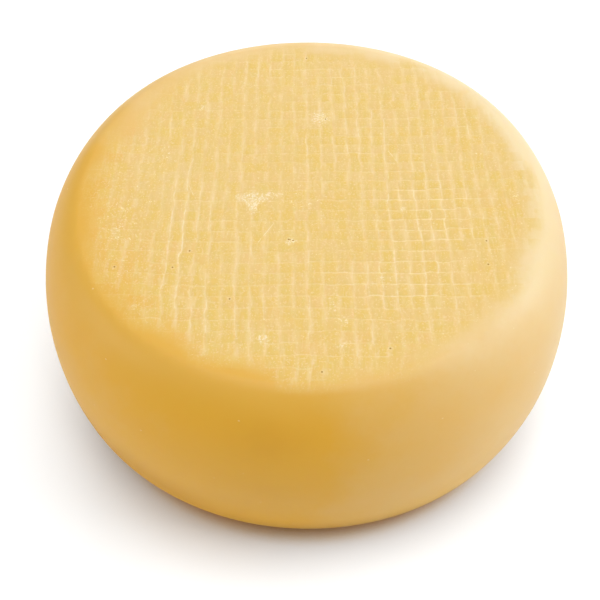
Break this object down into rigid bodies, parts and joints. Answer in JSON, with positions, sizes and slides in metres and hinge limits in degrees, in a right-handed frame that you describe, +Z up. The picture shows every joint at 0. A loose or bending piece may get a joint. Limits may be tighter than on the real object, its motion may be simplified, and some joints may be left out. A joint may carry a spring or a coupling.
{
  "type": "cheese wheel",
  "caption": "Whole small round cheese with a bulging waxy side, rounded shoulders and a flat top and underside.",
  "frame": {"origin": "centre of the flat underside that the wheel rests on", "axes": "+Z up along the wheel's axis, -Y towards the side shown in front, +X to its right"},
  "size_m": [0.1982, 0.199, 0.096],
  "materials": {
    "waxy_rind": "pale golden cheese rind with a faint waxy sheen, printed on its top and underside with the square mesh of the cloth it drained on"
  },
  "bodies": {
    "root": {"cheese_wheel": "waxy_rind"}
  },
  "joints": []
}
